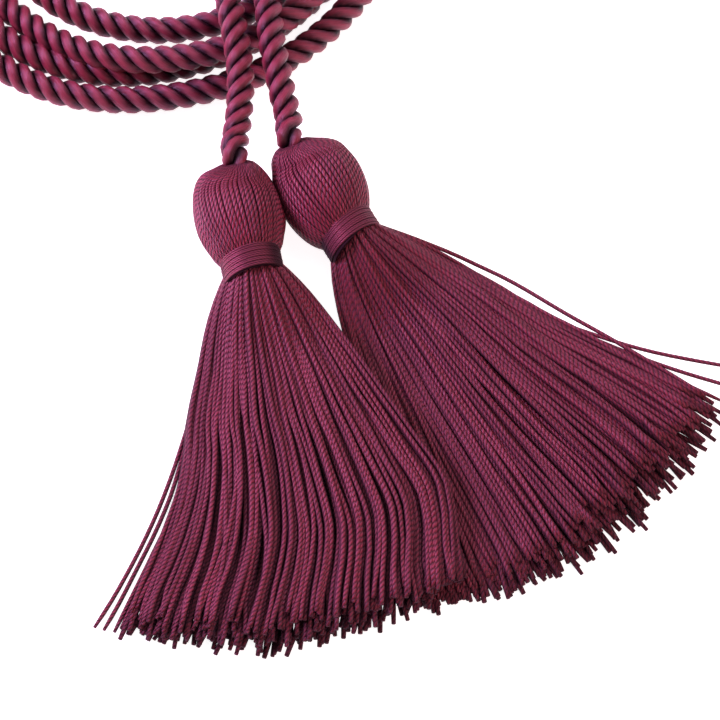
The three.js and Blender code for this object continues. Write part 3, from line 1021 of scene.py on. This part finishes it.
def make_fringe(side, settings, finish):
    rng = np.random.default_rng(31 if side == "left" else 32)
    steps = FRINGE_STEPS
    share, drift, depth, length = fringe_threads(side, settings, rng)[..., None]
    depth = np.clip(depth, 0, 1)
    count = len(share)
    t = np.linspace(0, 1, steps + 1)[None]
    share = mix(share, drift, smooth_step(t, 0.25, 1))
    reach = EDGES[side][0].reach + t * (length - EDGES[side][0].reach)
    left, right = side_angles(side, reach)
    paths = fan_places(side, settings, reach, mix(left, right, (share + 1) / 2))
    paths[..., 2] = fringe_heights(side, settings, share, depth, t)
    # Small bends of its own, more towards the cut end
    bends = sum(
        rng.normal(0, size, (count, 1)) * np.sin(np.pi * (wave * t + rng.uniform(0, 2, (count, 1))))
        for wave, size in BENDS)
    bends = bends * smooth_step(t, 0.05, 0.5)
    curl = rng.normal(0, CURL, (count, 1)) * smooth_step(t, 0.92, 1.0) * (1 - 0.6 * depth)
    along = unit(np.gradient(paths, axis=1) * (1, 1, 0))
    aside = np.stack([-along[..., 1], along[..., 0], 0 * t + 0 * depth], axis=-1)
    paths += (bends + curl)[..., None] * aside
    lift = rng.normal(0, LIFT, (count, 1)) * np.sin(np.pi * (2.1 * t + rng.uniform(0, 2, (count, 1))))
    paths[..., 2] += lift * smooth_step(t, 0.1, 0.5)
    # Near the neck some threads lie on others, which come out between them further on
    sunk = rng.uniform(0, 1, (count, 1)) ** 0.7 * mix(*SUNK, smooth_step(t, 0.15, 0.9))
    paths[..., 2] -= sunk * smooth_step(depth, 0.3, 1)
    width = mix(0.80, 1, smooth_step(t, 0, 0.35)) * (1 + FRINGE_SWELL * smooth_step(t, 0.96, 0.99))
    radii = 0.5 * settings.thread * width * rng.uniform(0.88, 1.1, (count, 1))
    paths[..., 2] = np.maximum(paths[..., 2], radii)
    # Painted shade: the lower layers are painted darker, and painted light: the fringe is painted lighter
    # near the neck
    shades = rng.uniform(0.65, 1, (count, 1)) * mix(0.35, 1, depth ** 1.2)
    shades = shades * mix(1, FRINGE_DIM, smooth_step(t, 0.05, 0.3))
    strays = [stray_path(side, settings, stray, t[0]) for stray in STRAYS[side]]
    paths = np.concatenate([paths, strays])
    radii = np.concatenate([radii, np.full((len(strays), steps + 1), 0.42 * settings.thread)])
    shades = np.concatenate([shades, np.full((len(strays), steps + 1), 0.75)])
    # For the painted shade between threads, the open side faces away from the tassel's axis at the neck,
    # and up where the fringe lies flat
    round_neck = share[..., None] * axis_of(side)[2]
    round_neck = round_neck + np.sqrt(np.clip(1 - share ** 2, 0, 1))[..., None] * UP
    outward = unit(mix(round_neck, UP, smooth_step(t, 0, settings.sag)[..., None]))
    outward = np.concatenate([outward, np.zeros((len(strays), steps + 1, 3)) + UP])
    blank = thread_blank(6, steps, 0.75)
    made = lay_threads(
        side + "_thread_fringe", blank, paths, radii, finish.ply_lay, shades, outward, FRINGE_CREVICE)
    remove(blank)
    made.data.materials.append(ply_material(side + " fringe thread", finish, 0.00018, contrast=0.85))
    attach(made, "root")
    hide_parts(side + "_fringe")
    return made


def stray_path(side, settings, stray, t):
    """A thread that leaves the fringe's side and lies on the surface."""
    reaches, angles = np.array(stray.bends).T
    start = EDGES[side][0].reach
    reach = start + t * (reaches[-1] - start)
    edge = side_angles(side, reach)[0 if angles[0] < 0 else 1]
    apart = smooth_step(reach, reaches[0] - STRAY_LEAVE, reaches[0])
    angle = mix(edge, np.interp(reach, reaches, angles), apart)
    angle[1:-1] = (angle[:-2] + 2 * angle[1:-1] + angle[2:]) / 4
    path = fan_places(side, settings, reach, angle)
    path[:, 2] = mix(HEAD_HEIGHT, stray.height, smooth_step(t, 0, 0.35))
    return path


# Stage

Light = namedtuple("Light", "name place size tint")  # its place is from the target
KEY = Light("key", (-0.9, 0.25, 0.55), 0.5, (1.0, 0.58, 1.0))
FILL = Light("fill", (0.75, -0.65, 0.45), 0.4, (1.0, 0.50, 0.45))
BACK = Light("back", (0.45, 0.8, 0.8), 0.5, (1.0, 0.75, 0.85))
TOP = Light("top", (-0.2, 0.2, 1.3), 1.2, (1, 1, 1))


def area_light(light, target, watts):
    lamp = bpy.data.lights.new(light.name, "AREA")
    lamp.shape = "DISK"
    lamp.size = light.size
    lamp.energy = watts
    lamp.color = light.tint
    obj = bpy.data.objects.new(light.name, lamp)
    bpy.context.collection.objects.link(obj)
    aim(obj, target + light.place, target)


def aim(obj, place, target):
    obj.location = place
    obj.rotation_euler = (Vector(target) - Vector(place)).to_track_quat("-Z", "Y").to_euler()


def make_stage(stage):
    target = SHIFT + (0, 0, 0.004)
    camera = bpy.data.cameras.new("camera")
    camera.sensor_width = 36
    camera.lens = camera.sensor_width * stage.distance / stage.width
    camera.clip_end = 20
    view = bpy.data.objects.new("camera", camera)
    bpy.context.collection.objects.link(view)
    back = stage.distance * math.cos(stage.elevation)
    aim(view, target + (0, -back, stage.distance * math.sin(stage.elevation)), target)
    bpy.context.scene.camera = view
    deselect_all()
    bpy.ops.mesh.primitive_plane_add(size=6, location=(0, 0, -0.0001))
    floor = bpy.context.active_object
    floor.name = "floor"
    bpy.ops.object.transform_apply(location=True)
    paint = bpy.data.materials.new("floor white")
    paint.use_nodes = True
    surface = paint.node_tree.nodes["Principled BSDF"]
    surface.inputs["Base Color"].default_value = colour(stage.floor)
    surface.inputs["Roughness"].default_value = 0.9
    surface.inputs["Emission Color"].default_value = (1, 1, 1, 1)
    surface.inputs["Emission Strength"].default_value = 0.9
    floor.data.materials.append(paint)
    area_light(KEY, target, stage.key)
    area_light(FILL, target, stage.fill)
    area_light(BACK, target, stage.back)
    area_light(TOP, target, stage.top)
    world = bpy.data.worlds.new("studio")
    bpy.context.scene.world = world
    world.use_nodes = True
    world.node_tree.nodes["Background"].inputs["Color"].default_value = (1, 1, 1, 1)
    world.node_tree.nodes["Background"].inputs["Strength"].default_value = 0.10
    bpy.context.scene.view_settings.view_transform = "Standard"


class CordOperator:
    bl_options = {"REGISTER", "UNDO"}

    def execute(self, context):
        scene = context.scene
        self.build(scene.cord_rope, scene.cord_tassel, scene.cord_finish, scene.cord_stage)
        return {"FINISHED"}


class CORD_OT_stage(CordOperator, bpy.types.Operator):
    """Add the floor, the lights and the camera"""
    bl_idname = "cord.stage"
    bl_label = "Stage"

    def build(self, rope, tassel, finish, stage):
        make_stage(stage)


class CORD_OT_rope(CordOperator, bpy.types.Operator):
    """Add the rope, with its strands laid along the coil and both leads"""
    bl_idname = "cord.rope"
    bl_label = "Rope"

    def build(self, rope, tassel, finish, stage):
        make_rope(rope, tassel, finish)


class CORD_OT_heads(CordOperator, bpy.types.Operator):
    """Add the two thread heads"""
    bl_idname = "cord.heads"
    bl_label = "Tassel heads"

    def build(self, rope, tassel, finish, stage):
        for side in TASSELS:
            make_head(side, tassel, finish)


class CORD_OT_bands(CordOperator, bpy.types.Operator):
    """Add the two wound neck bands"""
    bl_idname = "cord.bands"
    bl_label = "Neck bands"

    def build(self, rope, tassel, finish, stage):
        for side in TASSELS:
            make_band(side, tassel, finish)


class CORD_OT_fringes(CordOperator, bpy.types.Operator):
    """Add the two fringes of loose threads"""
    bl_idname = "cord.fringes"
    bl_label = "Fringes"

    def build(self, rope, tassel, finish, stage):
        for side in TASSELS:
            make_fringe(side, tassel, finish)


class CORD_PT_panel(bpy.types.Panel):
    bl_label = "Honor Cord"
    bl_space_type = "VIEW_3D"
    bl_region_type = "UI"
    bl_category = "Honor Cord"

    def draw(self, context):
        for operator in OPERATORS:
            self.layout.operator(operator.bl_idname)
        for name in SETTINGS:
            settings = getattr(context.scene, name)
            for key in settings.__annotations__:
                self.layout.prop(settings, key)


OPERATORS = (CORD_OT_stage, CORD_OT_rope, CORD_OT_heads, CORD_OT_bands, CORD_OT_fringes)
SETTINGS = {
    "cord_rope": RopeSettings,
    "cord_tassel": TasselSettings,
    "cord_finish": FinishSettings,
    "cord_stage": StageSettings,
}


def register():
    for name, settings in SETTINGS.items():
        bpy.utils.register_class(settings)
        setattr(bpy.types.Scene, name, PointerProperty(type=settings))
    for made in (*OPERATORS, CORD_PT_panel):
        bpy.utils.register_class(made)


def unregister():
    for made in (CORD_PT_panel, *OPERATORS):
        bpy.utils.unregister_class(made)
    for name, settings in SETTINGS.items():
        delattr(bpy.types.Scene, name)
        bpy.utils.unregister_class(settings)


def main():
    register()
    bpy.ops.cord.stage()
    bpy.ops.cord.rope()
    bpy.ops.cord.heads()
    bpy.ops.cord.bands()
    bpy.ops.cord.fringes()


if __name__ == "__main__":
    main()
